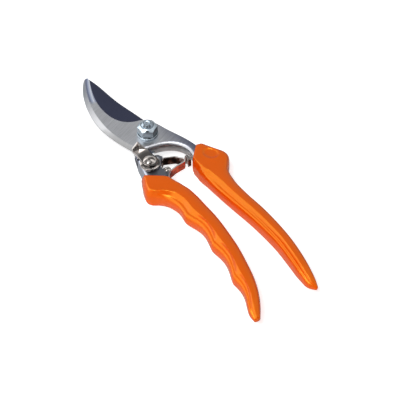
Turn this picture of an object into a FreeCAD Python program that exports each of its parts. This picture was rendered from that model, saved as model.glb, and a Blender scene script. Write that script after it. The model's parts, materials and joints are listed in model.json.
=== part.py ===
import FreeCAD, Part
import math
import os
import re

import Sketcher
from FreeCAD import Placement, Rotation, Vector

# Bypass pruner, pressed-steel pattern, closed. Millimetres.
# Frame: origin on the pivot axis, at the outer face of the bolt head, which is also the plane that
# the tool rests on when it lies on its back. +Y points to the blade tips, +Z to the nut side.

DRIVING_DIMENSIONS = {
    # heights in the pivot stack
    "shear_level": 10.0,            # plane where the two blades meet
    "bolt_head_thickness": 5.3,
    "head_washer_thickness": 1.2,
    "blade_thickness": 3.5,
    "hook_thickness": 4.0,
    "nut_washer_thickness": 1.6,
    "nut_thickness": 6.5,
    "bolt_end_stand_out": 2.0,
    # pivot fasteners, M8
    "bolt_radius": 4.0,
    "running_gap": 0.05,            # radial clearance of every turning bore
    "across_flats": 12.0,
    "washer_radius": 7.2,
    "nut_land_radius": 4.5,         # flat circle left by the corner chamfer
    "nut_chamfer_slope": 38.0,      # degrees below the flat
    "head_land_radius": 5.7,
    "head_chamfer_slope": 30.0,
    "dimple_radius": 2.1,
    "dimple_depth": 0.5,
    "bolt_end_chamfer": 1.3,
    # pressed sheet of the blade-side handle
    "sheet_thickness": 3.0,
    "wall_depth": 8.5,              # from the shear plane down to the edge of the side walls
    "window_depth": 6.0,
    "bend_radius": 2.4,
    # bars that carry the grips
    "core_depth": 6.0,              # down from the shear plane
    # hook-side handle
    "arch_flange_depth": 3.0,
    "arch_roll_radius": 2.6,
    "chamfer_depth": 3.4,           # of the hook's outer chamfer
    "edge_land": 0.15,              # thickness left at the cutting edge
    # rivets
    "catch_rivet_radius": 2.0,
    "catch_rivet_tail_radius": 2.95,
    "blade_rivet_radius": 1.8,
    "blade_rivet_head_radius": 2.8,
    "rivet_head_height": 1.3,       # under the blade
    # catch
    "catch_level": 6.0,             # underside of the catch plate above the shear plane
    "catch_thickness": 1.5,
    "catch_dome_radius": 4.35,
    "catch_dome_height": 1.8,
    "base_washer_radius": 6.3,
    "base_washer_thickness": 1.2,
    "spring_washer_radius": 6.6,
    "spring_washer_sheet": 0.7,
    "tab_thickness": 1.3,
    "tab_rise": 5.0,                # of the thumb tab's point above the plate
    "tooth_side": 1.8,
    "tooth_gap": 0.5,               # between the tooth's end and the shear plane
    # return spring
    "strip_thickness": 0.9,
    "strip_width": 7.2,
    "strip_drop": 0.4,              # top edge of the strip below the shear plane
    "spring_pin_radius": 1.5,
    "spring_pin_head_radius": 2.2,
    "spring_pin_head_height": 1.0,
    "seat_breadth": 2.4,
    "seat_length": 4.4,
    "seat_groove_radius": 1.6,
    # grips
    "grip_half_thickness": 7.5,
}

PIVOT = (0.0, 0.0)
CATCH_RIVET = (-13.6, -23.6)
BLADE_RIVET = (-7.6, -22.2)
SPRING_PIN = (-6.6, -33.6)
HEXAGON_TURN = 29.0          # degrees from +X to a corner of the nut and of the bolt head
LUG_RADIUS = 19.0            # top of the lug on the hook's heel, measured from the pivot
CLEAR_RADIUS = 19.7          # sheet edge that passes the lug
SECTION_POINTS = 20          # points on one grip section
SECTION_POWER = 2.6          # 2 is an ellipse, larger is squarer

os.makedirs("parts", exist_ok=True)
document = FreeCAD.newDocument("bypass_pruner")


def make_sheet():
    sheet = document.addObject("Spreadsheet::Sheet", "Dimensions")
    for row, (alias, value) in enumerate(DRIVING_DIMENSIONS.items(), start=1):
        sheet.set(f"A{row}", alias)
        sheet.set(f"B{row}", str(value))
        sheet.setAlias(f"B{row}", alias)
    document.recompute()
    return sheet


dimensions = make_sheet()


def size(alias):
    return float(dimensions.get(alias))


def bound(expression):
    """The expression with each alias written as a reference to the sheet."""
    def refer(match):
        word = match.group()
        return f"Dimensions.{word}" if word in DRIVING_DIMENSIONS else word
    return re.sub(r"[a-z_]+", refer, expression)


# ---- sketch and feature helpers -------------------------------------------------------------

def polar(radius, degrees):
    angle = math.radians(degrees)
    return (radius * math.cos(angle), radius * math.sin(angle))


def make_body(label):
    return document.addObject("PartDesign::Body", label)


def level_sketch(body, name, level):
    """A sketch parallel to the XY plane, at the height that the expression gives."""
    plane = next(item for item in body.Origin.OriginFeatures if item.Role == "XY_Plane")
    sketch = body.newObject("Sketcher::SketchObject", name)
    sketch.AttachmentSupport = [(plane, "")]
    sketch.MapMode = "FlatFace"
    sketch.setExpression("AttachmentOffset.Base.z", bound(level))
    return sketch


def draw_outline(sketch, start, stretches):
    """Closed outline: a point is a straight stretch, a list of points a smooth curve through them."""
    here = Vector(*start, 0)
    for stretch in stretches + [start]:
        if isinstance(stretch, list):
            points = [here] + [Vector(*point, 0) for point in stretch]
            curve = Part.BSplineCurve()
            curve.interpolate(points)
            sketch.addGeometry(curve)
            here = points[-1]
        elif (Vector(*stretch, 0) - here).Length > 1e-6:
            end = Vector(*stretch, 0)
            sketch.addGeometry(Part.LineSegment(here, end))
            here = end


def draw_circle(sketch, centre, radius):
    index = sketch.addGeometry(Part.Circle(Vector(*centre, 0), Vector(0, 0, 1), 1))
    constraint = sketch.addConstraint(Sketcher.Constraint("Radius", index, 1))
    name = f"radius_{index}"
    sketch.renameConstraint(constraint, name)
    sketch.setExpression(f"Constraints.{name}", bound(radius))


def add_pad(body, name, level, height, start, stretches):
    sketch = level_sketch(body, f"{name}_outline", level)
    draw_outline(sketch, start, stretches)
    feature = body.newObject("PartDesign::Pad", name)
    feature.Profile = sketch
    feature.setExpression("Length", bound(height))
    document.recompute()
    return feature


def add_bores(body, name, level, holes):
    """Round through holes, cut down from the given level: (centre, radius expression) pairs."""
    sketch = level_sketch(body, f"{name}_circles", level)
    for centre, radius in holes:
        draw_circle(sketch, centre, radius)
    feature = body.newObject("PartDesign::Pocket", name)
    feature.Profile = sketch
    feature.Type = "ThroughAll"
    document.recompute()


def edge_names(feature, wanted):
    return [f"Edge{i}" for i, edge in enumerate(feature.Shape.Edges, start=1) if wanted(edge)]


def middle(edge):
    return edge.valueAt((edge.FirstParameter + edge.LastParameter) / 2)


def along_level(edge, level):
    heights = [vertex.Z for vertex in edge.Vertexes] + [middle(edge).z]
    return all(abs(height - level) < 1e-4 for height in heights)


def add_fillet(body, name, edges, radius):
    base = body.Tip
    feature = body.newObject("PartDesign::Fillet", name)
    feature.Base = (base, edges)
    feature.setExpression("Radius", bound(radius))
    document.recompute()


def cut_between(body, name, outlines):
    """Cuts away the loft between closed outlines, each a (level, start, stretches) triple."""
    sketches = []
    for number, (level, start, stretches) in enumerate(outlines, start=1):
        sketch = level_sketch(body, f"{name}_outline_{number}", level)
        draw_outline(sketch, start, stretches)
        sketches.append(sketch)
    document.recompute()
    feature = body.newObject("PartDesign::SubtractiveLoft", name)
    feature.Profile = sketches[0]
    feature.Sections = sketches[1:]
    feature.Ruled = True
    document.recompute()


def make_cylinder(name, centre, radius, level, height):
    cylinder = document.addObject("Part::Cylinder", name)
    cylinder.Placement = Placement(Vector(*centre, 0), Rotation())
    cylinder.setExpression("Radius", bound(radius))
    cylinder.setExpression("Height", bound(height))
    cylinder.setExpression("Placement.Base.z", bound(level))
    return cylinder


def make_ring(label, centre, outer, inner, level, height):
    ring = document.addObject("Part::Cut", label)
    ring.Base = make_cylinder(f"{label}_disc", centre, outer, level, height)
    ring.Tool = make_cylinder(f"{label}_bore", centre, inner, level, height)
    return ring


def make_hexagon(name, level, height, land, slope, chamfer_at_top):
    """Hexagon with a conical chamfer on one face, from a flat circle of the land radius."""
    prism = document.addObject("Part::Prism", f"{name}_prism")
    prism.Polygon = 6
    prism.Placement = Placement(Vector(), Rotation(Vector(0, 0, 1), HEXAGON_TURN))
    prism.setExpression("Circumradius", bound("across_flats / sqrt(3)"))
    prism.setExpression("Height", bound(height))
    prism.setExpression("Placement.Base.z", bound(level))
    cone = document.addObject("Part::Cone", f"{name}_cone")
    spread = bound(f"{land} + ({height}) / tan({slope} * 1 deg)")
    small, large = ("Radius2", "Radius1") if chamfer_at_top else ("Radius1", "Radius2")
    cone.setExpression(small, bound(land))
    cone.setExpression(large, spread)
    cone.setExpression("Height", bound(height))
    cone.setExpression("Placement.Base.z", bound(level))
    hexagon = document.addObject("Part::Common", name)
    hexagon.Base = prism
    hexagon.Tool = cone
    return hexagon


def make_feature(label, shape):
    feature = document.addObject("Part::Feature", label)
    feature.Shape = shape
    return feature


# ---- the jaws ------------------------------------------------------------------------------

def make_counter_blade():
    """Hook, pivot plate and handle tang, pressed from one plate."""
    body = make_body("counter_blade")
    hook_outer = [(-13.2, 62.6), (-20.3, 43.3), (-22.3, 28.0), (-20.7, 12.6), (-15.9, -4.3)]
    hook_inner = [(-9.9, 54.6), (-13.1, 35.3), (-9.6, 21.3), (2.6, 13.2)]
    arch = [(-3.0, -12.7), (4.6, -15.1), (12.0, -21.7), (13.9, -27.0), (13.2, -34.0), (13.2, -40.0)]
    add_pad(
        body, "plate", "shear_level", "hook_thickness", (-7.4, 71.2),
        [
            hook_outer,
            polar(LUG_RADIUS, 212.5),
            polar(LUG_RADIUS, 218.5),
            polar(LUG_RADIUS - 3.0, 219.5),
            (-7.4, -11.8),
            arch,
            (20.4, -40.0),
            (20.2, -27.6),
            [(16.9, -15.4), (12.3, -3.1), (9.9, 4.2), (2.6, 13.2)],
            hook_inner[::-1][1:] + [(-5.2, 66.4)],
            (-5.0, 69.6),
            [(-5.8, 71.0), (-7.4, 71.2)],
        ],
    )
    add_pad(
        body, "core", "shear_level - core_depth", "core_depth", (14.2, -36.0),
        [
            [(13.8, -60.0), (16.5, -98.0), (16.2, -122.0)],
            (23.2, -122.0),
            [(23.5, -98.0), (20.8, -60.0), (21.6, -36.0)],
        ],
    )
    add_pad(
        body, "arch_flange", "shear_level - arch_flange_depth", "arch_flange_depth", arch[0],
        [
            arch[1:-1],
            (15.8, -34.0),
            [(16.8, -26.4), (14.4, -20.0), (5.4, -12.4), (-2.6, -10.2)],
        ],
    )
    add_bores(body, "bolt_hole", "shear_level + hook_thickness", [(PIVOT, "bolt_radius")])
    outside = [(-20.0, -4.3), [(-25.0, 12.6), (-26.5, 28.0), (-24.5, 43.3), (-16.0, 64.0), (-4.0, 76.0)]]
    chamfer_top = [(-14.0, 55.0), (-19.3, 33.0), (-19.2, 14.0), (-14.2, -4.3)]
    cut_between(
        body, "outer_chamfer",
        [
            ("shear_level + hook_thickness", (-4.8, 69.4), [(-7.4, 69.2), chamfer_top] + outside),
            (
                "shear_level + hook_thickness - chamfer_depth",
                (-4.6, 72.0),
                [(-7.4, 71.2), hook_outer] + outside,
            ),
        ],
    )
    top = size("shear_level") + size("hook_thickness")
    arch_edge = edge_names(
        body.Tip,
        lambda e: along_level(e, top) and -30 < middle(e).y < -10 and -12 < middle(e).x < 14,
    )
    add_fillet(body, "arch_roll", arch_edge, "arch_roll_radius")
    return body


def make_cutting_blade():
    body = make_body("cutting_blade")
    cutting_edge = [(-10.4, 61.5), (-16.6, 47.0), (-18.4, 32.0), (-16.6, 17.0), (-9.4, 2.0)]
    add_pad(
        body, "plate", "shear_level - blade_thickness", "blade_thickness", (-3.0, 71.2),
        [
            cutting_edge,
            (-14.2, -4.4),
            (-16.9, -12.6),
            (-17.3, -15.3),
            (-14.3, -15.3),
            (-15.4, -20.0),
            (-15.8, -27.6),
            (-10.0, -27.6),
            (-4.4, -23.4),
            (-4.7, -18.6),
            [(-5.3, -12.6), (-3.0, -9.0), (4.6, -8.3), (9.5, 0.0), (7.6, 9.6)],
            [(4.4, 26.0), (1.0, 42.0), (-1.2, 62.0), (-3.0, 71.2)],
        ],
    )
    holes = [(PIVOT, "bolt_radius + running_gap")]
    holes += [(CATCH_RIVET, "catch_rivet_radius"), (BLADE_RIVET, "blade_rivet_radius")]
    add_bores(body, "holes", "shear_level", holes)
    outside = [(-14.0, 0.0), [(-21.0, 16.0), (-23.0, 32.0), (-21.0, 48.0), (-14.0, 64.0), (-5.0, 75.0)]]
    bevel_top = [(-7.4, 58.6), (-12.6, 45.5), (-14.0, 32.0), (-12.6, 19.0), (-8.0, 5.5)]
    cut_between(
        body, "ground_bevel",
        [
            ("shear_level - edge_land", (-3.0, 71.2), [cutting_edge] + outside),
            ("shear_level - blade_thickness", (-3.6, 68.6), [bevel_top] + outside),
        ],
    )
    return body


# ---- the blade-side handle --------------------------------------------------------------------

def make_left_handle_frame():
    """Pressed channel that the blade is riveted into, with the bar that carries the grip."""
    body = make_body("left_handle_frame")
    arc = [polar(CLEAR_RADIUS, angle) for angle in (236.0, 246.0, 256.0)]
    add_pad(
        body, "web", "shear_level", "sheet_thickness", (-18.4, -16.2),
        [
            arc[0],
            arc[1:],
            (-2.9, -22.4),
            (-8.8, -26.8),
            (-8.8, -31.2),
            (-6.6, -31.2),
            [(-4.2, -33.6), (-6.6, -36.0)],
            (-10.4, -40.0),
            (-20.6, -40.0),
            (-21.7, -31.0),
        ],
    )
    wall_level = "shear_level - wall_depth"
    add_pad(
        body, "outer_wall", wall_level, "wall_depth", (-14.4, -5.2),
        [(-18.4, -16.2), (-21.7, -31.0), (-20.6, -40.0), (-17.6, -40.0), (-18.7, -31.0), (-11.8, -6.0)],
    )
    add_pad(
        body, "inner_wall", wall_level, "wall_depth", (-8.8, -28.2),
        [(-11.2, -28.2), (-13.4, -40.0), (-10.4, -40.0), (-8.8, -31.2)],
    )
    add_pad(
        body, "core", "shear_level - core_depth", "core_depth", (-19.6, -39.0),
        [
            [(-14.3, -60.0), (-13.4, -84.0), (-17.3, -120.0)],
            (-10.5, -121.6),
            [(-6.6, -84.0), (-7.4, -60.0), (-11.2, -39.0)],
        ],
    )
    window = level_sketch(body, "window_outline", "shear_level")
    draw_outline(window, (-8.0, -2.0), [(-8.0, -9.0), (-14.0, -15.6), (-24.0, -15.6), (-24.0, -2.0)])
    pocket = body.newObject("PartDesign::Pocket", "window")
    pocket.Profile = window
    pocket.setExpression("Length", bound("window_depth"))
    document.recompute()
    holes = [(CATCH_RIVET, "catch_rivet_radius"), (BLADE_RIVET, "blade_rivet_radius")]
    holes.append((SPRING_PIN, "spring_pin_radius"))
    add_bores(body, "holes", "shear_level + sheet_thickness", holes)
    top = size("shear_level") + size("sheet_thickness")
    bend = edge_names(
        body.Tip, lambda e: along_level(e, top) and middle(e).x < -19.0 and -34 < middle(e).y < -20
    )
    add_fillet(body, "bend", bend, "bend_radius")
    return body


# ---- pivot fasteners -------------------------------------------------------------------------

def make_pivot_bolt():
    head = make_hexagon(
        "bolt_head", "0 mm", "bolt_head_thickness", "head_land_radius", "head_chamfer_slope",
        chamfer_at_top=False,
    )
    length = "shear_level + hook_thickness + nut_washer_thickness + nut_thickness + bolt_end_stand_out"
    shank = make_cylinder("bolt_shank", PIVOT, "bolt_radius", "0 mm", length)
    end = document.addObject("Part::Chamfer", "bolt_end")
    end.Base = shank
    document.recompute()
    top = max(vertex.Z for vertex in shank.Shape.Vertexes)
    rim = [i for i, edge in enumerate(shank.Shape.Edges, start=1) if along_level(edge, top)]
    end.Edges = [(i, size("bolt_end_chamfer"), size("bolt_end_chamfer")) for i in rim]
    dimple = document.addObject("Part::Cone", "bolt_dimple")
    dimple.setExpression("Radius1", bound("dimple_radius / 2"))
    dimple.setExpression("Radius2", bound("dimple_radius"))
    dimple.setExpression("Height", bound("dimple_depth"))
    dimple.setExpression("Placement.Base.z", bound(f"{length} - dimple_depth"))
    hollow_end = document.addObject("Part::Cut", "bolt_hollow_end")
    hollow_end.Base = end
    hollow_end.Tool = dimple
    bolt = document.addObject("Part::Fuse", "pivot_bolt")
    bolt.Base = head
    bolt.Tool = hollow_end
    return bolt


def make_pivot_nut():
    level = "shear_level + hook_thickness + nut_washer_thickness"
    nut = document.addObject("Part::Cut", "pivot_nut")
    nut.Base = make_hexagon(
        "nut_hexagon", level, "nut_thickness", "nut_land_radius", "nut_chamfer_slope", chamfer_at_top=True
    )
    nut.Tool = make_cylinder("nut_bore", PIVOT, "bolt_radius", level, "nut_thickness")
    return nut


def make_pivot_washers():
    above = "shear_level + hook_thickness"
    make_ring("pivot_washer", PIVOT, "washer_radius", "bolt_radius", above, "nut_washer_thickness")
    below = "bolt_head_thickness"
    make_ring("head_washer", PIVOT, "washer_radius", "bolt_radius", below, "head_washer_thickness")


# ---- rivets and the catch ----------------------------------------------------------------------

def make_blade_rivet():
    """Flush on the front of the sheet, headed under the blade."""
    bottom = "shear_level - blade_thickness"
    shank = make_cylinder(
        "blade_rivet_shank", BLADE_RIVET, "blade_rivet_radius", bottom, "blade_thickness + sheet_thickness"
    )
    head = make_cylinder(
        "blade_rivet_head", BLADE_RIVET, "blade_rivet_head_radius",
        f"{bottom} - rivet_head_height", "rivet_head_height",
    )
    rivet = document.addObject("Part::Fuse", "blade_rivet")
    rivet.Base = shank
    rivet.Tool = head
    return rivet


def dome(centre, base_level, radius, height):
    """Solid cap of a sphere, flat side down."""
    ball_radius = (radius ** 2 + height ** 2) / (2 * height)
    ball = Part.makeSphere(ball_radius, Vector(*centre, base_level + height - ball_radius))
    return ball.common(Part.makeCylinder(radius, height, Vector(*centre, base_level)))


def make_catch_rivet():
    bottom = size("shear_level") - size("blade_thickness")
    top = size("shear_level") + size("catch_level") + size("catch_thickness")
    shank = Part.makeCylinder(size("catch_rivet_radius"), top - bottom, Vector(*CATCH_RIVET, bottom))
    head_height = size("rivet_head_height")
    head = Part.makeCylinder(
        size("catch_rivet_tail_radius"), head_height, Vector(*CATCH_RIVET, bottom - head_height)
    )
    cap = dome(CATCH_RIVET, top, size("catch_dome_radius"), size("catch_dome_height"))
    return make_feature("catch_rivet", shank.fuse([head, cap]).removeSplitter())


def make_catch_washers():
    web_top = "shear_level + sheet_thickness"
    make_ring(
        "catch_base_washer", CATCH_RIVET, "base_washer_radius", "catch_rivet_radius",
        web_top, "base_washer_thickness",
    )
    low = size("shear_level") + size("sheet_thickness") + size("base_washer_thickness")
    high = size("shear_level") + size("catch_level")
    thickness = size("spring_washer_sheet")
    inner = size("catch_rivet_radius")
    outer = size("spring_washer_radius")
    profile = Part.makePolygon([
        Vector(outer, 0, low), Vector(outer, 0, low + thickness), Vector(inner, 0, high),
        Vector(inner, 0, high - thickness), Vector(outer, 0, low),
    ])
    dish = Part.Face(profile).revolve(Vector(), Vector(0, 0, 1), 360)
    dish.translate(Vector(*CATCH_RIVET, 0))
    make_feature("catch_spring_washer", dish)


def plate_from(corners, thickness):
    """Flat plate: a polygon in space, thickened to both sides of its own plane."""
    face = Part.Face(Part.makePolygon(corners + corners[:1]))
    normal = face.normalAt(0, 0)
    face.translate(normal * (-thickness / 2))
    return face.extrude(normal * thickness)


def make_catch_lever():
    """Thumb catch: a plate on its rivet, a creased thumb tab bent up and a tooth bent down."""
    level = size("shear_level") + size("catch_level")
    thickness = size("catch_thickness")
    top = level + thickness
    left_side = [(-18.9, -11.0), (-18.1, -14.3), (-18.3, -22.4)]
    around_rivet = [(-17.0, -27.0), (-13.4, -29.4), (-9.9, -27.2), (-8.7, -23.0)]
    edges = []
    edges += Part.makePolygon([Vector(*point, level) for point in left_side]).Edges
    for points in ([left_side[-1]] + around_rivet, [around_rivet[-1], (-9.6, -19.2), (-9.6, -14.6)]):
        curve = Part.BSplineCurve()
        curve.interpolate([Vector(*point, level) for point in points])
        edges.append(curve.toShape())
    crease = (-13.7, -11.4)
    edges += Part.makePolygon([Vector(*p, level) for p in ((-9.6, -14.6), crease, left_side[0])]).Edges
    plate = Part.Face(Part.Wire(edges)).extrude(Vector(0, 0, thickness))
    apex = Vector(-13.9, -9.9, top + size("tab_rise"))
    base = level + thickness / 2
    crease_foot = Vector(*crease, base)
    tab_sheet = size("tab_thickness")
    left_foot = Vector(-18.6, -11.4, base)
    left_end = left_foot + (apex - crease_foot) * 0.5
    left_facet = plate_from([left_foot, crease_foot, apex, left_end], tab_sheet)
    right_facet = plate_from([crease_foot, Vector(-9.9, -14.4, base), apex], tab_sheet)
    tooth_bottom = size("shear_level") + size("tooth_gap")
    side = size("tooth_side")
    tooth = Part.makeBox(side, side, level - tooth_bottom, Vector(-16.5, -13.9, tooth_bottom))
    bore = Part.makeCylinder(
        size("catch_rivet_radius") + size("running_gap"), thickness, Vector(*CATCH_RIVET, level)
    )
    lever = plate.fuse([left_facet, right_facet, tooth]).cut(bore)
    return make_feature("catch_lever", lever.removeSplitter())


# ---- return spring ----------------------------------------------------------------------------

def offset_curve(curve, distance):
    """Curve beside a given one, on its left for a positive distance."""
    steps = 24
    points = []
    for step in range(steps + 1):
        along = curve.FirstParameter + (curve.LastParameter - curve.FirstParameter) * step / steps
        left = Vector(0, 0, 1).cross(curve.tangent(along)[0])
        points.append(curve.value(along) + left * distance)
    beside = Part.BSplineCurve()
    beside.interpolate(points)
    return beside


def make_return_spring():
    """Flat strip bent into a loop: its nose bears in the hook-side tang, both ends on the channel."""
    top = size("shear_level") - size("strip_drop")
    width = size("strip_width")
    far_leg = [(-3.7, -22.6), (-1.8, -20.9), (5.6, -24.4), (9.0, -28.0), (9.7, -30.2)]
    near_leg = [(8.0, -31.4), (1.0, -31.9), (-4.6, -33.2)]
    middle_line = Part.BSplineCurve()
    middle_line.interpolate([Vector(*point, top - width) for point in far_leg + near_leg])
    half = size("strip_thickness") / 2
    sides = [offset_curve(middle_line, half), offset_curve(middle_line, -half)]
    ends = [
        Part.LineSegment(sides[0].StartPoint, sides[1].StartPoint),
        Part.LineSegment(sides[0].EndPoint, sides[1].EndPoint),
    ]
    outline = Part.Wire(Part.__sortEdges__([piece.toShape() for piece in sides + ends]))
    return make_feature("return_spring", Part.Face(outline).extrude(Vector(0, 0, width)))


def make_spring_fittings():
    """Headed pin that holds the loop's tail, and the cupped block that takes its nose."""
    bottom = size("shear_level") - size("wall_depth")
    web_top = size("shear_level") + size("sheet_thickness")
    radius = size("spring_pin_radius")
    shank = Part.makeCylinder(radius, web_top - bottom, Vector(*SPRING_PIN, bottom))
    head = dome(SPRING_PIN, web_top, size("spring_pin_head_radius"), size("spring_pin_head_height"))
    make_feature("spring_pin", shank.fuse(head).removeSplitter())
    seat_top = size("shear_level") - size("strip_drop")
    depth = size("strip_width")
    corner = Vector(10.8, -32.1, seat_top - depth)
    block = Part.makeBox(size("seat_breadth"), size("seat_length"), depth, corner)
    flange = document.getObject("counter_blade").Shape
    groove = Part.makeCylinder(size("seat_groove_radius"), depth, Vector(10.1, -30.0, seat_top - depth))
    make_feature("spring_seat", block.cut(groove).cut(flange))


# ---- grips ------------------------------------------------------------------------------------

def grip_section(outer, inner, half_thickness):
    """Rounded section that stands on the line between an outer and an inner point of the outline."""
    middle_level = size("grip_half_thickness")
    start, end = Vector(*outer, middle_level), Vector(*inner, middle_level)
    centre = (start + end) * 0.5
    half_width = (end - start) * 0.5
    points = []
    for step in range(SECTION_POINTS):
        angle = 2 * math.pi * step / SECTION_POINTS
        across = math.copysign(abs(math.cos(angle)) ** (2 / SECTION_POWER), math.cos(angle))
        up = math.copysign(abs(math.sin(angle)) ** (2 / SECTION_POWER), math.sin(angle))
        points.append(centre + half_width * across + Vector(0, 0, half_thickness * up))
    curve = Part.BSplineCurve()
    curve.interpolate(points, PeriodicFlag=True)
    return Part.Wire(curve.toShape())


def make_grip(label, sections, frame):
    """Moulded sleeve: a loft through its sections, less the steel that runs inside it."""
    full = size("grip_half_thickness")
    wires = [grip_section(outer, inner, full * share) for outer, inner, share in sections]
    sleeve = Part.makeLoft(wires, True, False)
    return make_feature(label, sleeve.cut(frame.Shape))


def make_left_grip(frame):
    return make_grip(
        "left_grip",
        [
            ((-24.4, -29.8), (-9.6, -41.2), 0.94),
            ((-29.2, -39.6), (-7.2, -45.6), 1.0),
            ((-26.6, -48.2), (-4.9, -51.0), 1.0),
            ((-20.8, -57.2), (-3.0, -58.4), 1.0),
            ((-18.8, -67.0), (-2.0, -67.0), 1.0),
            ((-17.6, -79.0), (-1.5, -78.0), 1.0),
            ((-17.3, -92.0), (-2.3, -90.5), 1.0),
            ((-18.5, -105.0), (-3.9, -103.0), 1.0),
            ((-19.8, -118.0), (-6.8, -115.5), 1.0),
            ((-22.8, -131.0), (-10.5, -128.5), 0.95),
            ((-26.0, -143.5), (-15.4, -141.5), 0.84),
            ((-29.2, -151.5), (-20.8, -151.2), 0.62),
            ((-29.0, -156.2), (-25.6, -157.2), 0.26),
        ],
        frame,
    )


def make_right_grip(frame):
    return make_grip(
        "right_grip",
        [
            ((20.6, -26.4), (9.4, -35.6), 0.92),
            ((30.4, -32.4), (9.0, -40.4), 1.0),
            ((35.4, -42.6), (8.5, -46.0), 1.0),
            ((33.0, -49.0), (8.6, -52.0), 1.0),
            ((27.8, -57.0), (8.9, -59.0), 1.0),
            ((25.6, -66.0), (9.6, -67.0), 1.0),
            ((25.6, -80.0), (11.2, -80.5), 1.0),
            ((26.8, -94.0), (13.2, -94.0), 1.0),
            ((26.9, -108.0), (13.9, -107.5), 1.0),
            ((25.8, -122.0), (13.9, -121.0), 1.0),
            ((23.7, -135.5), (12.6, -135.0), 0.94),
            ((20.9, -148.0), (11.3, -147.0), 0.78),
            ((18.4, -156.4), (12.4, -155.4), 0.46),
            ((16.6, -159.6), (14.2, -159.2), 0.2),
        ],
        frame,
    )


# ---- build, check and write --------------------------------------------------------------------

NODES = [
    "counter_blade", "cutting_blade", "left_handle_frame", "left_grip", "right_grip",
    "pivot_bolt", "pivot_nut", "pivot_washer", "head_washer", "blade_rivet",
    "catch_lever", "catch_rivet", "catch_base_washer", "catch_spring_washer",
    "return_spring", "spring_pin", "spring_seat",
]

counter_blade = make_counter_blade()
make_cutting_blade()
left_frame = make_left_handle_frame()
make_pivot_bolt()
make_pivot_nut()
make_pivot_washers()
make_blade_rivet()
make_catch_rivet()
make_catch_washers()
make_catch_lever()
make_return_spring()
make_spring_fittings()
make_left_grip(left_frame)
make_right_grip(counter_blade)
document.recompute()

for item in document.Objects:
    if "Invalid" in item.State or "Error" in item.State:
        raise RuntimeError(f"{item.Label} did not build: {item.State}")
for node in NODES:
    shape = document.getObject(node).Shape
    if shape.isNull() or not shape.isValid() or not shape.Solids:
        raise RuntimeError(f"{node} has no valid solid")
for node in NODES:
    document.getObject(node).Shape.exportStep(f"parts/{node}.step")
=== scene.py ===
import json
import math

import bpy
import numpy as np
from mathutils import Matrix, Vector


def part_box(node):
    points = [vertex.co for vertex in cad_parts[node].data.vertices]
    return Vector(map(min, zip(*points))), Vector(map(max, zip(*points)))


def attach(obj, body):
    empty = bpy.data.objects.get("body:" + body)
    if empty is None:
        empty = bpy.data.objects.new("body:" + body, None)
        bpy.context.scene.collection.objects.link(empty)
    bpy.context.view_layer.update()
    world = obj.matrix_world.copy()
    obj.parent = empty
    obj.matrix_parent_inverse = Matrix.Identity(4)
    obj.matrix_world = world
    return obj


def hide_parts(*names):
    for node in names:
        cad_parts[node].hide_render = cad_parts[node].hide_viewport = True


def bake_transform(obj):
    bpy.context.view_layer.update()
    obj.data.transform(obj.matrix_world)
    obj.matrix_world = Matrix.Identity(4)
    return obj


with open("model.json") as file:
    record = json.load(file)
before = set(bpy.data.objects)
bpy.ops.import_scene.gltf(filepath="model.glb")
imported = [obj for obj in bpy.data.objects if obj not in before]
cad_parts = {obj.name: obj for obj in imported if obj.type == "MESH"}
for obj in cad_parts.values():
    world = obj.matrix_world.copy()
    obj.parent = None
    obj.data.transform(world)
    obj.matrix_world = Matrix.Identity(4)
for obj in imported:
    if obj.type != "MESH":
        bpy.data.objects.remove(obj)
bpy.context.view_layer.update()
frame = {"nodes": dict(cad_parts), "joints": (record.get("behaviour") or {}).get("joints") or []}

MM = 0.001
WHITE = (1.0, 1.0, 1.0, 1.0)
scene = bpy.context.scene


def node_box(name):
    """A CAD node's lowest and highest corners, in millimetres."""
    low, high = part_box(name)
    return low / MM, high / MM


CATCH_AXIS = Vector(next(joint for joint in frame["joints"] if joint["name"] == "catch_pivot")["pos_m"])
GRIP_BOTTOM = node_box("left_grip")[0].z
GRIP_TOP = node_box("left_grip")[1].z
GRIP_MIDDLE = (GRIP_BOTTOM + GRIP_TOP) / 2
GRIP_HALF = (GRIP_TOP - GRIP_BOTTOM) / 2


# ---- colours and shader nodes ---------------------------------------------------------------

def colour(red, green, blue):
    """Linear RGBA from display values between 0 and 255."""
    def linear(value):
        share = value / 255
        return share / 12.92 if share <= 0.04045 else ((share + 0.055) / 1.055) ** 2.4
    return (linear(red), linear(green), linear(blue), 1.0)


def grey(value):
    return (value, value, value, 1.0)


def add(tree, kind, inputs=None, **settings):
    """A new shader node. An input is given a value, or another node's output to link to."""
    made = tree.nodes.new("ShaderNode" + kind)
    for name, value in settings.items():
        setattr(made, name, value)
    for name, value in (inputs or {}).items():
        if isinstance(value, bpy.types.NodeSocket):
            tree.links.new(value, made.inputs[name])
        else:
            made.inputs[name].default_value = value
    return made


def math_node(tree, operation, first, second=0.0, clamp=False):
    made = add(tree, "Math", {0: first, 1: second}, operation=operation, use_clamp=clamp)
    return made.outputs[0]


def ramp(tree, factor, stops):
    """Colour or grey values at positions along a factor."""
    made = add(tree, "ValToRGB", {"Fac": factor})
    elements = made.color_ramp.elements
    while len(elements) < len(stops):
        elements.new(1.0)
    for element, (position, value) in zip(elements, stops):
        element.position = position
        element.color = value if isinstance(value, tuple) else grey(value)
    return made.outputs["Color"]


def blend_colour(tree, factor, first, second, mode="MIX"):
    made = add(tree, "Mix", data_type="RGBA", blend_type=mode)
    for socket, value in ((made.inputs[0], factor), (made.inputs[6], first), (made.inputs[7], second)):
        if isinstance(value, bpy.types.NodeSocket):
            tree.links.new(value, socket)
        else:
            socket.default_value = value
    return made.outputs[2]


def object_place(tree):
    """Where a surface point is, in the frame's own coordinates, in metres."""
    return add(tree, "TexCoord").outputs["Object"]


def split(tree, vector):
    """A vector's parts, by the names X, Y and Z."""
    return add(tree, "SeparateXYZ", {"Vector": vector}).outputs


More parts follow.
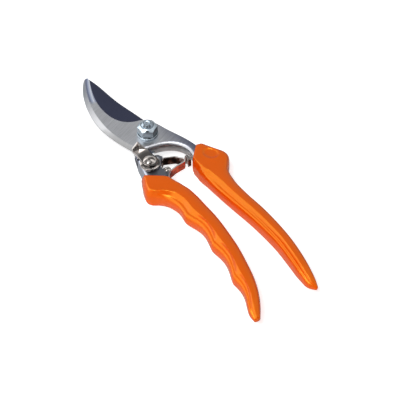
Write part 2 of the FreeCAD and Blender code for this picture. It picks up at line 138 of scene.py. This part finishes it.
def tilt(tree):
    """1 on a face that looks straight up, 0 on an upright one."""
    return split(tree, add(tree, "NewGeometry").outputs["Normal"])["Z"]


def distance_from(tree, place, centre):
    return add(tree, "VectorMath", {0: place, 1: tuple(centre)}, operation="DISTANCE").outputs["Value"]


def plan_place(tree, place):
    """A place with its height dropped."""
    return add(tree, "VectorMath", {0: place, 1: (1.0, 1.0, 0.0)}, operation="MULTIPLY").outputs[0]


def source(shader, name):
    """What already feeds one of a shader's inputs."""
    return shader.inputs[name].links[0].from_socket


def noise(tree, scale, detail=2.0, stretch=(1, 1, 1), turn=0.0):
    """Noise in the frame's own coordinates; scale is in cells per metre."""
    turned = add(tree, "Mapping", {"Vector": object_place(tree), "Rotation": (0, 0, math.radians(turn))})
    mapped = add(tree, "Mapping", {"Vector": turned.outputs[0], "Scale": stretch})
    made = add(tree, "TexNoise", {"Vector": mapped.outputs[0], "Scale": scale, "Detail": detail})
    return made.outputs["Fac"]


def lobe(tree, ray, direction, inner, outer):
    """1 within the inner angle of a direction, falling smoothly to 0 at the outer angle."""
    towards = tuple(Vector(direction).normalized())
    facing = add(tree, "VectorMath", {0: ray, 1: towards}, operation="DOT_PRODUCT").outputs["Value"]
    limits = {
        "Value": facing,
        "From Min": math.cos(math.radians(outer)),
        "From Max": math.cos(math.radians(inner)),
    }
    return add(tree, "MapRange", limits, interpolation_type="SMOOTHSTEP").outputs[0]


def between(tree, value, low, high, start=0.0, end=1.0):
    """The value's place between low and high, carried over to run from start to end."""
    limits = {"Value": value, "From Min": low, "From Max": high, "To Min": start, "To Max": end}
    return add(tree, "MapRange", limits).outputs[0]


def new_material(name):
    """A material with its tree and its Principled shader."""
    made = bpy.data.materials.new(name)
    made.use_nodes = True
    return made, made.node_tree, made.node_tree.nodes["Principled BSDF"]


def connect(tree, shader, **outputs):
    for name, value in outputs.items():
        socket = shader.inputs[name.replace("_", " ")]
        if isinstance(value, bpy.types.NodeSocket):
            tree.links.new(value, socket)
        else:
            socket.default_value = value


def bump(tree, height, strength, distance_mm):
    made = add(tree, "Bump", {"Height": height, "Strength": strength, "Distance": distance_mm * MM})
    return made.outputs["Normal"]


# ---- materials ------------------------------------------------------------------------------

def metal(name, tint, roughness, brush=None, smudge=0.08, bump_strength=0.06):
    """Plated or polished metal. brush is (direction in degrees, strength) of fine grinding lines.

    smudge, 0 to 1, is how much darker the metal is in cloudy patches."""
    made, tree, shader = new_material(name)
    cloud = noise(tree, 60.0, 4.0)
    tone = ramp(tree, cloud, [(0.3, 1.0 - smudge), (0.7, 1.0)])
    surface = blend_colour(tree, 1.0, colour(*tint), tone, "MULTIPLY")
    speck = noise(tree, 900.0, 3.0)
    rough = math_node(tree, "MULTIPLY_ADD", speck, 0.10)
    rough.node.inputs[2].default_value = roughness - 0.05
    height = speck
    if brush:
        direction, strength = brush
        lines = noise(tree, 1.0, 3.0, stretch=(90.0, 4200.0, 90.0), turn=-direction)
        streaks = ramp(tree, lines, [(0.25, 1.0 - strength), (0.75, 1.0)])
        surface = blend_colour(tree, 1.0, surface, streaks, "MULTIPLY")
        height = lines
    connect(
        tree, shader, Base_Color=surface, Metallic=1.0, Roughness=rough,
        Normal=bump(tree, height, bump_strength, 0.05),
    )
    return made, tree, shader


# The polished band on the hook's flat face, painted with a bevel's bright highlight and a dark line, lies
# along its outer edge, an arc about this centre, and runs inwards from the outer radius to the inner one.
# Towards the tip it fades in between the two
# BEVEL_START distances, measured along the BEVEL_LINE direction.
BEVEL_CENTRE = (76.5, 21.5)
BEVEL_OUTER = 96.5
BEVEL_INNER = 92.6
BEVEL_LINE = (0.30, 0.95)
BEVEL_START = (41.0, 43.5)


def hook_steel():
    """Brushed steel, with painted shade that darkens its flat face towards the handle, painted light and
    shade on its edges, and a polished bevel near the tip with a painted highlight.
    """
    made, tree, shader = metal("brushed_steel", (206, 208, 213), 0.34, brush=(20, 0.42), bump_strength=0.3)
    place = object_place(tree)
    upward = between(tree, tilt(tree), 0.85, 0.95)
    # Painted shade: the flat face that looks up darkens towards the handle end.
    handle_end = between(tree, split(tree, place)["X"], 4 * MM, 20 * MM)
    painted_flat_light = ramp(tree, handle_end, [(0.0, 1.0), (1.0, colour(130, 134, 158))])
    shaded = blend_colour(tree, upward, WHITE, painted_flat_light)
    surface = blend_colour(tree, 1.0, source(shader, "Base Color"), shaded, "MULTIPLY")
    # The edges take painted light and shade.
    edges = blend_colour(tree, 0.8, surface, painted_edge_light(tree, place))
    surface = blend_colour(tree, upward, edges, surface)
    polished, band = polished_bevel_and_painted_light(tree, place, upward)
    surface = blend_colour(tree, polished, surface, band)
    smoother = between(tree, polished, 0.0, 1.0, 1.0, 0.6)
    rough = math_node(tree, "MULTIPLY", source(shader, "Roughness"), smoother)
    connect(tree, shader, Base_Color=surface, Roughness=rough)
    return made


def painted_edge_light(tree, place):
    """Painted light and shade on the plate's edges: darker at the tip and brighter towards the catch. On
    the arch, upright faces are painted bright and rounded ones painted dark, which dims their highlight."""
    along = split(tree, place)["Y"]
    towards_catch = between(tree, along, 66 * MM, 4 * MM)
    jaw_painted_light = ramp(tree, towards_catch, [
        (0.0, colour(150, 158, 168)), (0.35, colour(158, 159, 162)), (1.0, 0.56),
    ])
    rounded = between(tree, tilt(tree), 0.15, 0.4)
    arch_painted_light = blend_colour(tree, rounded, WHITE, (0.34, 0.34, 0.36, 1.0))
    by_arch = between(tree, along, -4 * MM, -7 * MM)
    return blend_colour(tree, by_arch, jaw_painted_light, arch_painted_light)


def polished_bevel_and_painted_light(tree, place, upward):
    """Where the hook is polished, 0 to 1, and the tones across that band: a painted highlight with a dark
    line.
    """
    line = tuple(part / MM for part in BEVEL_LINE) + (0.0,)
    along = add(tree, "VectorMath", {0: place, 1: line}, operation="DOT_PRODUCT").outputs["Value"]
    swirl = math_node(tree, "MULTIPLY", noise(tree, 160.0, 3.0), 5.0)
    near_tip = between(tree, math_node(tree, "ADD", along, swirl), *BEVEL_START)
    polished = math_node(tree, "MULTIPLY", near_tip, upward)
    centre = Vector((*BEVEL_CENTRE, 0.0)) * MM
    away = distance_from(tree, plan_place(tree, place), centre)
    # Painted highlight: a dark line and bright stripes across the bevel band.
    band = ramp(tree, between(tree, away, BEVEL_OUTER * MM, BEVEL_INNER * MM), [
        (0.0, colour(176, 182, 200)), (0.22, colour(118, 126, 150)), (0.5, colour(188, 198, 226)),
        (0.8, colour(238, 244, 255)), (1.0, colour(176, 184, 210)),
    ])
    return polished, band


def bright_plate(name, tint, roughness, tones, reflected_clutter=0.0):
    """Bright plating, painted as if it mirrored what stands round it.

    Each tone is (mirrored direction, inner angle, outer angle, brightness) of a painted reflection. The
    clutter share, 0 to 1, adds soft dark shapes to the painted reflection."""
    made, tree, shader = metal(name, tint, roughness, smudge=0.08)
    mirrored = add(tree, "TexCoord").outputs["Reflection"]
    plated = source(shader, "Base Color")
    shapes = add(tree, "TexNoise", {"Vector": mirrored, "Scale": 1.3, "Detail": 1.0}).outputs["Fac"]
    tone = ramp(tree, shapes, [(0.44, 1.0 - reflected_clutter), (0.54, 1.0)])
    for direction, inner, outer, brightness in tones:
        share = lobe(tree, mirrored, direction, inner, outer)
        tone = blend_colour(tree, share, tone, grey(brightness))
    connect(tree, shader, Base_Color=blend_colour(tree, 1.0, plated, tone, "MULTIPLY"), Metallic=0.65)
    return made


def handle_steel():
    """Pressed steel: bright on its folded walls, and painted darker on the flat, as shade."""
    made, tree, shader = metal("handle_steel", (172, 178, 190), 0.30, brush=(80, 0.16), bump_strength=0.12)
    pressed = source(shader, "Base Color")
    # Painted shade: faces that look up are darkened to 0.4.
    tone = ramp(tree, between(tree, tilt(tree), 0.85, 0.98), [(0.0, 1.0), (1.0, 0.40)])
    connect(tree, shader, Base_Color=blend_colour(tree, 1.0, pressed, tone, "MULTIPLY"))
    return made


def catch_plate():
    """The catch, with painted reflections: dark on the flat near its rivet, bright on the raised tab at its
    far end, and dark and bright patches on its sides.
    """
    made, tree, shader = metal("catch_plate", (222, 216, 212), 0.16, smudge=0.10)
    plated = source(shader, "Base Color")
    # Painted reflections: dark on the flat near the rivet, bright on the tab, patchy dark and bright on the
    # sides.
    away = distance_from(tree, object_place(tree), CATCH_AXIS)
    far = between(tree, away, 6.5 * MM, 9.5 * MM)
    painted_flat_light = ramp(tree, far, [(0.0, 0.17), (0.6, 0.30), (1.0, 0.6)])
    painted_side_reflections = ramp(tree, noise(tree, 260.0, 1.0), [(0.45, 0.06), (0.55, 0.9)])
    upward = between(tree, tilt(tree), 0.55, 0.85)
    painted_tab_and_sides = blend_colour(tree, far, painted_side_reflections, WHITE)
    tone = blend_colour(tree, upward, painted_tab_and_sides, painted_flat_light)
    connect(tree, shader, Base_Color=blend_colour(tree, 1.0, plated, tone, "MULTIPLY"))
    return made


def spring_steel():
    """Bright strip. Its wide faces are painted as if they mirrored the dark gap inside it, or the
    orange grips in front."""
    made, tree, shader = metal("spring_steel", (226, 222, 220), 0.14, smudge=0.05)
    along = split(tree, object_place(tree))["Y"]
    bright = source(shader, "Base Color")
    patches = noise(tree, 190.0, 2.0)
    gap = ramp(tree, patches, [
        (0.42, colour(30, 20, 18)), (0.52, colour(96, 62, 52)), (0.62, colour(190, 176, 168)),
    ])
    grips = ramp(tree, patches, [(0.38, colour(120, 40, 30)), (0.6, colour(226, 104, 70))])
    wide = blend_colour(tree, between(tree, along, -29.0 * MM, -30.5 * MM), gap, grips)
    upward = between(tree, tilt(tree), 0.25, 0.6)
    connect(tree, shader, Base_Color=blend_colour(tree, upward, wide, bright))
    return made


def orange_sleeve():
    """Glossy orange plastic with painted shade, redder and darker where it turns away from the view, and
    faint scuffs.
    """
    made, tree, shader = new_material("orange_sleeve")
    # Painted shade: faces turned away from the view are painted darker red.
    facing = add(tree, "LayerWeight", {"Blend": 0.35}).outputs["Facing"]
    depth = ramp(tree, facing, [
        (0.2, colour(234, 79, 0)), (0.5, colour(224, 70, 1)), (0.85, colour(170, 46, 4)),
    ])
    cloud = noise(tree, 45.0, 3.0)
    tone = ramp(tree, cloud, [(0.35, 0.95), (0.65, 1.0)])
    surface = blend_colour(tree, 1.0, depth, tone, "MULTIPLY")
    scuffs = noise(tree, 260.0, 5.0, stretch=(3.0, 0.4, 1.0), turn=10)
    ripple = noise(tree, 320.0, 2.0)
    connect(
        tree, shader, Base_Color=surface, Roughness=between(tree, scuffs, 0.45, 0.75, 0.15, 0.24),
        Specular_IOR_Level=1.0, Specular_Tint=(1.0, 1.0, 0.12, 1.0), Normal=bump(tree, ripple, 0.05, 0.08),
    )
    return made


MATERIALS = {
    "ground_steel": hook_steel(),
    "dark_blade_steel": metal("dark_blade_steel", (74, 78, 100), 0.20, brush=(70, 0.12))[0],
    "handle_steel": handle_steel(),
    # The bright platings below carry painted reflections, listed as (mirrored direction, inner angle, outer
    # angle, brightness).
    "zinc_plate": bright_plate("zinc_plate", (196, 210, 220), 0.18, [
        ((0.37, 0.52, 0.77), 4, 20, 0.10),
        ((-0.37, -0.52, 0.77), 8, 18, 0.06),
        ((-0.71, 0.13, 0.70), 10, 22, 1.0),
        ((0.37, -0.62, 0.70), 10, 26, 1.0),
        ((0.64, -0.06, -0.77), 16, 34, 0.10),
        ((-0.27, 0.58, -0.77), 12, 30, 0.42),
        ((-0.37, -0.52, -0.77), 12, 28, 0.85),
    ]),
    "bolt_plate": bright_plate("bolt_plate", (176, 190, 202), 0.25, [
        ((0.37, 0.52, 0.77), 4, 20, 0.45),
        ((-0.71, 0.13, 0.70), 10, 34, 0.20),
        ((0.37, -0.62, 0.70), 10, 30, 0.35),
        ((-0.37, -0.52, 0.77), 8, 18, 0.10),
    ]),
    "catch_plate": catch_plate(),
    "nickel_plate": bright_plate("nickel_plate", (222, 214, 208), 0.12, [
        ((0.37, 0.52, 0.77), 4, 24, 0.20),
        ((-0.37, -0.52, 0.77), 4, 18, 0.06),
    ], reflected_clutter=0.9),
    "spring_steel": spring_steel(),
    "orange_sleeve": orange_sleeve(),
}


# ---- CAD nodes ------------------------------------------------------------------------------

def finish_node(name, material, edge_mm):
    """Gives a CAD node its material, and a small rounding on its sharp edges."""
    node = frame["nodes"][name]
    node.data.materials.clear()
    node.data.materials.append(MATERIALS[material])
    weld = node.modifiers.new("weld", "WELD")
    weld.merge_threshold = 0.002 * MM
    rounding = node.modifiers.new("rounding", "BEVEL")
    rounding.width = edge_mm * MM
    rounding.segments = 2
    rounding.limit_method = "ANGLE"
    rounding.angle_limit = math.radians(32)
    rounding.use_clamp_overlap = True
    even = node.modifiers.new("even_normals", "WEIGHTED_NORMAL")
    even.keep_sharp = False


CAD_FINISHES = {
    "counter_blade": ("ground_steel", 0.25),
    "cutting_blade": ("dark_blade_steel", 0.12),
    "left_handle_frame": ("handle_steel", 0.35),
    "pivot_bolt": ("bolt_plate", 0.15),
    "pivot_nut": ("zinc_plate", 0.25),
    "pivot_washer": ("zinc_plate", 0.25),
    "head_washer": ("zinc_plate", 0.25),
    "blade_rivet": ("handle_steel", 0.2),
    "catch_rivet": ("nickel_plate", 0.2),
    "catch_base_washer": ("nickel_plate", 0.2),
    "catch_spring_washer": ("nickel_plate", 0.1),
    "catch_lever": ("catch_plate", 0.2),
    "spring_pin": ("nickel_plate", 0.15),
    "spring_seat": ("nickel_plate", 0.25),
}


# ---- mesh helpers ---------------------------------------------------------------------------

def smooth_rows(rows, steps):
    """Rows of numbers joined by a smooth curve, at even steps of the distance between rows."""
    rows = np.array(rows, float)
    middles = (rows[:, 0:2] + rows[:, 2:4]) / 2 if rows.shape[1] > 3 else rows[:, 0:2]
    gaps = np.linalg.norm(np.diff(middles, axis=0), axis=1)
    knots = np.concatenate([[0], np.cumsum(gaps)])
    slopes = np.diff(rows, axis=0) / gaps[:, None]
    tangents = np.vstack([slopes[:1], slopes, slopes[-1:]])
    weights = np.concatenate([gaps[:1], gaps, gaps[-1:]])[:, None]
    tangents = (tangents[:-1] * weights[1:] + tangents[1:] * weights[:-1]) / (weights[1:] + weights[:-1])
    at = np.linspace(0, knots[-1], steps)
    index = np.clip(np.searchsorted(knots, at, side="right") - 1, 0, len(gaps) - 1)
    gap = gaps[index][:, None]
    t = ((at - knots[index]) / gaps[index])[:, None]
    start, end = rows[index], rows[index + 1]
    return (
        (2 * t ** 3 - 3 * t ** 2 + 1) * start + (t ** 3 - 2 * t ** 2 + t) * gap * tangents[index]
        + (3 * t ** 2 - 2 * t ** 3) * end + (t ** 3 - t ** 2) * gap * tangents[index + 1]
    )


def new_mesh(name, vertices, faces, material):
    """A flat-shaded mesh object from vertices in millimetres."""
    data = bpy.data.meshes.new(name)
    data.from_pydata([tuple(float(v) * MM for v in vertex) for vertex in vertices], [], faces)
    data.update()
    data.materials.append(MATERIALS[material])
    piece = bpy.data.objects.new(name, data)
    scene.collection.objects.link(piece)
    return piece


def ring_faces(rings, around):
    """Quads between neighbouring rings, and a face over the first ring and the last."""
    faces = []
    for ring in range(rings - 1):
        for j in range(around):
            k = (j + 1) % around
            here, beyond = ring * around, (ring + 1) * around
            faces.append((here + j, here + k, beyond + k, beyond + j))
    faces.append(tuple(reversed(range(around))))
    faces.append(tuple((rings - 1) * around + j for j in range(around)))
    return faces


# ---- grips ----------------------------------------------------------------------------------

RINGS = 300
AROUND = 120
SKIPPED = 5          # rings behind the rim that its rounded lip takes the place of
LIP = 1.3            # depth of the rounded lip at the rim
END_BULGE = 0.8      # how far the closed end would stand out at its middle
# Half sections across a grip, as (towards the fingers, up) shares of its half width and half height,
# from the finger side over the top to the far side and back underneath.
BLOCK_SECTION = [
    (1.00, 0.00), (1.00, 0.24), (0.97, 0.44), (0.92, 0.62), (0.86, 0.79), (0.80, 0.92), (0.74, 0.99),
    (0.62, 1.00), (0.20, 1.00), (-0.40, 1.00), (-0.78, 0.96), (-0.95, 0.72), (-1.00, 0.20), (-1.00, -0.40),
    (-0.90, -0.88), (-0.45, -1.00), (0.00, -1.00), (0.45, -1.00), (0.88, -0.90), (1.00, -0.45),
]
BODY_SECTION = [
    (1.00, 0.00), (0.99, 0.26), (0.93, 0.48), (0.80, 0.62), (0.60, 0.67), (0.46, 0.82), (0.28, 0.985),
    (0.14, 1.00), (-0.08, 1.00), (-0.42, 0.95), (-0.70, 0.82), (-0.90, 0.52), (-1.00, 0.10), (-0.96, -0.38),
    (-0.75, -0.76), (-0.36, -0.96), (0.00, -1.00), (0.36, -0.97), (0.74, -0.80), (0.95, -0.42),
]


def smooth_loop(points, count):
    """A closed smooth curve through the points, at count places."""
    points = np.array(points, float)
    total = len(points)
    at = np.linspace(0, total, count, endpoint=False)
    index = at.astype(int)
    t = (at - index)[:, None]
    before, start, end, after = (points[(index + k) % total] for k in (-1, 0, 1, 2))
    return 0.5 * (
        2 * start + (end - before) * t + (2 * before - 5 * start + 4 * end - after) * t ** 2
        + (3 * start - before - 3 * end + after) * t ** 3
    )


def sleeve(name, body, finger_side, stations, scoops, mark=None):
    """A sleeve through stations of (outer x, y, inner x, y, height share, block share).

    finger_side is 1 if the outer side carries the finger shoulder, -1 if the inner side does.
    A scoop is (start y, end y, depth): a finger hollow cut into the outer side."""
    rows = smooth_rows(stations, RINGS)
    block, plain = smooth_loop(BLOCK_SECTION, AROUND), smooth_loop(BODY_SECTION, AROUND)
    vertices = []

    def ring(row, shrink, shift):
        outer, inner = row[0:2], row[2:4]
        half = np.linalg.norm(outer - inner) / 2
        sideways = (outer - inner) / (2 * half)
        forward = np.array([-sideways[1], sideways[0]]) * np.sign(sideways[0])
        share = np.clip(row[5], 0, 1)
        section = block * share + plain * (1 - share)
        u = section[:, 0] * finger_side * (half - shrink)
        v = section[:, 1] * (GRIP_HALF * row[4] - shrink)
        for start, end, depth in scoops:
            t = (outer[1] - start) / (end - start)
            if 0 < t < 1:
                hollow = depth * (1 - (2 * t - 1) ** 2) ** 1.5
                reach = np.clip((u * finger_side / half - 0.2) / 0.3, 0, 1)
                u = u - hollow * finger_side * reach
        base = (outer + inner) / 2 + forward * shift
        for a, b in zip(u, v):
            x, y = base + sideways * a
            vertices.append((x, y, GRIP_MIDDLE + b))

    for share in (1.0, 0.62, 0.32, 0.12):
        ring(rows[0], LIP * share ** 2, -LIP * (1 - share) ** 2)
    for row in rows[SKIPPED:]:
        ring(row, 0.0, 0.0)
    for share in (0.35, 0.65, 0.85):
        ring(rows[-1], GRIP_HALF * rows[-1][4] * share, -END_BULGE * math.sqrt(share))
    rings = len(vertices) // AROUND
    if mark:
        vertices = [mark(vertex) for vertex in vertices]
    piece = new_mesh(name, vertices, ring_faces(rings, AROUND), "orange_sleeve")
    piece.data.shade_smooth()
    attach(piece, body)
    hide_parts(name.replace("_sleeve", "_grip"))


OVAL_CENTRE = (23.6, -39.4)
OVAL_HALF_LENGTH = 5.6
OVAL_HALF_WIDTH = 4.6
OVAL_TURN = -58          # degrees from +X to the oval's length
OVAL_DEPTH = 0.7
OVAL_RIM = 0.22          # height of the rim, which crests at 1.1 times the oval's size
OVAL_REACH = 1.2


def oval_mark(vertex):
    """Sinks a shallow oval hollow into the top of the right grip's block, with a raised rim."""
    x, y, z = vertex
    dx, dy = x - OVAL_CENTRE[0], y - OVAL_CENTRE[1]
    turn = math.radians(OVAL_TURN)
    along = (dx * math.cos(turn) + dy * math.sin(turn)) / OVAL_HALF_LENGTH
    aside = (-dx * math.sin(turn) + dy * math.cos(turn)) / OVAL_HALF_WIDTH
    reach = math.hypot(along, aside)
    if z < GRIP_MIDDLE or reach > OVAL_REACH:
        return vertex
    if reach > 1:
        return (x, y, z + OVAL_RIM * (1 - abs(reach - 1.1) / 0.1))
    return (x, y, z - OVAL_DEPTH * min(1.0, (1 - reach) / 0.3))


def make_grips():
    left = [
        (-23.8, -28.8, -9.4, -39.9, 0.99, 1.0),
        (-28.2, -38.6, -7.8, -44.2, 1.0, 1.0),
        (-28.8, -42.2, -7.0, -46.4, 1.0, 1.0),
        (-27.6, -44.6, -6.2, -48.2, 1.0, 0.92),
        (-24.2, -47.6, -5.2, -50.4, 1.0, 0.6),
        (-20.6, -52.9, -3.4, -54.9, 1.0, 0.2),
        (-19.0, -61.0, -2.5, -61.5, 1.0, 0.0),
        (-19.1, -71.5, -2.3, -71.0, 1.0, 0.0),
        (-17.9, -84.0, -2.3, -83.0, 1.0, 0.0),
        (-18.4, -99.2, -3.6, -97.4, 1.0, 0.0),
        (-19.6, -111.0, -5.2, -108.8, 1.0, 0.0),
        (-22.4, -126.0, -8.6, -123.6, 0.98, 0.0),
        (-24.0, -134.4, -11.0, -132.2, 0.92, 0.0),
        (-25.5, -143.0, -14.7, -141.4, 0.82, 0.0),
        (-28.6, -151.0, -20.3, -150.8, 0.62, 0.0),
        (-29.0, -155.8, -25.0, -156.8, 0.30, 0.0),
    ]
    scoops = [(-54.0, -71.5, 0.7), (-71.5, -99.2, 2.1), (-99.2, -126.0, 2.0), (-126.0, -145.0, 1.6)]
    sleeve("left_sleeve", "blade_side", 1, left, scoops)
    right = [
        (21.3, -26.0, 10.6, -36.9, 0.97, 1.0),
        (24.9, -27.8, 10.3, -39.3, 1.0, 1.0),
        (27.0, -31.2, 10.1, -41.1, 1.0, 1.0),
        (29.9, -36.4, 9.9, -43.6, 1.0, 1.0),
        (33.1, -42.2, 9.6, -46.2, 1.0, 1.0),
        (33.2, -46.9, 9.7, -50.0, 1.0, 0.9),
        (30.4, -51.1, 9.8, -53.4, 1.0, 0.6),
        (27.0, -55.4, 9.9, -57.8, 1.0, 0.3),
        (24.7, -65.2, 10.4, -66.2, 1.0, 0.0),
        (24.4, -80.0, 12.0, -80.5, 1.0, 0.0),
        (25.4, -94.0, 13.6, -94.0, 1.0, 0.0),
        (25.5, -108.0, 14.5, -107.5, 1.0, 0.0),
        (24.7, -122.0, 14.6, -121.0, 1.0, 0.0),
        (22.8, -135.5, 13.2, -135.0, 0.94, 0.0),
        (20.0, -148.0, 11.9, -147.0, 0.78, 0.0),
        (17.5, -156.2, 12.2, -155.4, 0.46, 0.0),
        (16.2, -159.2, 14.0, -159.0, 0.2, 0.0),
    ]
    sleeve("right_sleeve", "hook_side", -1, right, [], oval_mark)


# ---- return spring --------------------------------------------------------------------------

def rounded_path(corners, radii, step_degrees=9):
    """Points along straight runs joined by arcs. There is a radius for each corner but the two ends."""
    points = [np.array(corners[0], float)]
    for before, corner, after, radius in zip(corners, corners[1:], corners[2:], radii):
        before, corner, after = (np.array(p, float) for p in (before, corner, after))
        towards = (before - corner) / np.linalg.norm(before - corner)
        away = (after - corner) / np.linalg.norm(after - corner)
        half = math.acos(np.clip(towards @ away, -1, 1)) / 2
        reach = radius / math.tan(half)
        bisector = (towards + away) / np.linalg.norm(towards + away)
        centre = corner + bisector * radius / math.sin(half)
        first, last = corner + towards * reach - centre, corner + away * reach - centre
        turn = math.atan2(first[0] * last[1] - first[1] * last[0], first @ last)
        steps = max(2, int(abs(math.degrees(turn)) / step_degrees))
        for k in range(steps + 1):
            cosine, sine = math.cos(turn * k / steps), math.sin(turn * k / steps)
            rotated = (first[0] * cosine - first[1] * sine, first[0] * sine + first[1] * cosine)
            points.append(centre + np.array(rotated))
    points.append(np.array(corners[-1], float))
    return points


STRIP_THICKNESS = 0.9
STRIP_CHAMFER = 0.2
# The strip goes from the pressed channel round the loop's nose, in the hook side's seat, and back.
STRIP_CORNERS = [
    (-3.7, -22.6), (-1.8, -20.9), (5.6, -24.4), (9.9, -29.6), (8.0, -31.6), (1.0, -31.9), (-4.6, -33.2),
]
STRIP_RADII = [0.8, 1.6, 1.2, 1.2, 2.0]


def make_spring():
    """The strip, standing on edge."""
    low, high = node_box("return_spring")
    half, chamfer = STRIP_THICKNESS / 2, STRIP_CHAMFER
    path = rounded_path(STRIP_CORNERS, STRIP_RADII)
    profile = [
        (-half, low.z + chamfer), (-half + chamfer, low.z), (half - chamfer, low.z),
        (half, low.z + chamfer), (half, high.z - chamfer), (half - chamfer, high.z),
        (-half + chamfer, high.z), (-half, high.z - chamfer),
    ]
    vertices = []
    for i, point in enumerate(path):
        along = path[min(i + 1, len(path) - 1)] - path[max(i - 1, 0)]
        along = along / np.linalg.norm(along)
        aside = np.array([-along[1], along[0]])
        for offset, z in profile:
            x, y = point + aside * offset
            vertices.append((x, y, z))
    piece = new_mesh("spring_strip", vertices, ring_faces(len(path), len(profile)), "spring_steel")
    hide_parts("return_spring")
    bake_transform(piece)


# ---- studio ---------------------------------------------------------------------------------

FLOOR_HALF = 3.0          # metres
FLOOR_DROP = 0.2          # millimetres, so that the floor stays clear of the tool's underside


def make_floor():
    """Pale floor. Seen in the metal it is painted darker, as shade under the tool would make it."""
    data = bpy.data.meshes.new("floor")
    corners = [(x * FLOOR_HALF, y * FLOOR_HALF, 0) for x, y in ((-1, -1), (1, -1), (1, 1), (-1, 1))]
    data.from_pydata(corners, [], [(0, 1, 2, 3)])
    made, tree, shader = new_material("pale_floor")
    grain = noise(tree, 3.0, 2.0)
    pale = ramp(tree, grain, [(0.3, 0.68), (0.7, 0.71)])
    # Painted shade: rays mirrored off the tool see the floor darker and with less glow.
    mirrored = add(tree, "LightPath").outputs["Is Glossy Ray"]
    seen = blend_colour(tree, mirrored, pale, (0.55, 0.545, 0.54, 1.0))
    glow = add(tree, "MapRange", {"Value": mirrored, "To Min": 1.0, "To Max": 0.10})
    connect(
        tree, shader, Base_Color=seen, Roughness=0.8, Emission_Color=pale,
        Emission_Strength=glow.outputs[0],
    )
    data.materials.append(made)
    floor = bpy.data.objects.new("floor", data)
    floor.location.z = -FLOOR_DROP * MM
    scene.collection.objects.link(floor)


def make_world():
    """White for the camera, soft white for diffuse light, and a studio of panels for reflections."""
    world = bpy.data.worlds.new("studio")
    scene.world = world
    world.use_nodes = True
    tree = world.node_tree
    tree.nodes.clear()
    ray = add(tree, "TexCoord").outputs["Generated"]
    height = add(tree, "SeparateXYZ", {"Vector": ray}).outputs["Z"]
    room = ramp(tree, height, [(0.0, 0.30), (0.35, 0.55), (0.6, 0.95), (1.0, 1.0)])
    for direction, inner, outer, value in (
        ((-0.75, 0.45, 0.45), 26, 56, 2.3),      # bright panel, behind and to the left
        ((0.42, 0.52, 0.74), 8, 34, 0.62),       # grey gap behind, mirrored in the flat faces
        ((-0.37, -0.53, 0.77), 10, 24, 0.40),    # the dim side towards the camera
        ((0.0, -1.0, 0.10), 20, 60, 0.20),       # dim front
        ((-0.25, -0.05, 0.97), 12, 25, 6.5),     # lamp overhead
    ):
        share = lobe(tree, ray, direction, inner, outer)
        room = blend_colour(tree, share, room, grey(value))
    path = add(tree, "LightPath")
    ambient = blend_colour(tree, path.outputs["Is Glossy Ray"], (0.22, 0.22, 0.23, 1.0), room)
    seen = blend_colour(tree, path.outputs["Is Camera Ray"], ambient, WHITE)
    glow = add(tree, "Background", {"Color": seen, "Strength": 1.0})
    add(tree, "OutputWorld", {"Surface": glow.outputs[0]})


def softbox(name, place, target, width, height, watts):
    """A soft lamp that lights the tool but isn't mirrored in it. Places and sizes are in metres."""
    data = bpy.data.lights.new(name, "AREA")
    data.shape = "RECTANGLE"
    data.size, data.size_y, data.energy = width, height, watts
    light = bpy.data.objects.new(name, data)
    light.location = place
    light.rotation_mode = "QUATERNION"
    light.rotation_quaternion = (Vector(target) - Vector(place)).to_track_quat("-Z", "Y")
    light.visible_glossy = False
    scene.collection.objects.link(light)


CAMERA_PLACE = (-232.7, -390.0, 484.2)
CAMERA_RIGHT = (0.8166, -0.5771, 0.0)
CAMERA_FORWARD = (0.371, 0.525, -0.766)
LENS = 87.75
SENSOR_WIDTH = 36.0


def make_camera():
    """Looks down on the tool from beyond the left handle's end, 50 degrees above the table."""
    right = Vector(CAMERA_RIGHT).normalized()
    forward = Vector(CAMERA_FORWARD).normalized()
    up = right.cross(forward)
    data = bpy.data.cameras.new("camera")
    data.lens = LENS
    data.sensor_width = SENSOR_WIDTH
    camera = bpy.data.objects.new("camera", data)
    turn = Matrix((right, up, -forward)).transposed().to_4x4()
    camera.matrix_world = Matrix.Translation(Vector(CAMERA_PLACE) * MM) @ turn
    scene.collection.objects.link(camera)
    scene.camera = camera


for name, (material, edge_mm) in CAD_FINISHES.items():
    finish_node(name, material, edge_mm)
make_grips()
make_spring()
make_floor()
make_world()
softbox("overhead", (-0.34, -0.12, 0.62), (0.0, -0.06, 0.0), 0.4, 0.42, 4.1)
make_camera()
scene.view_settings.view_transform = "Standard"
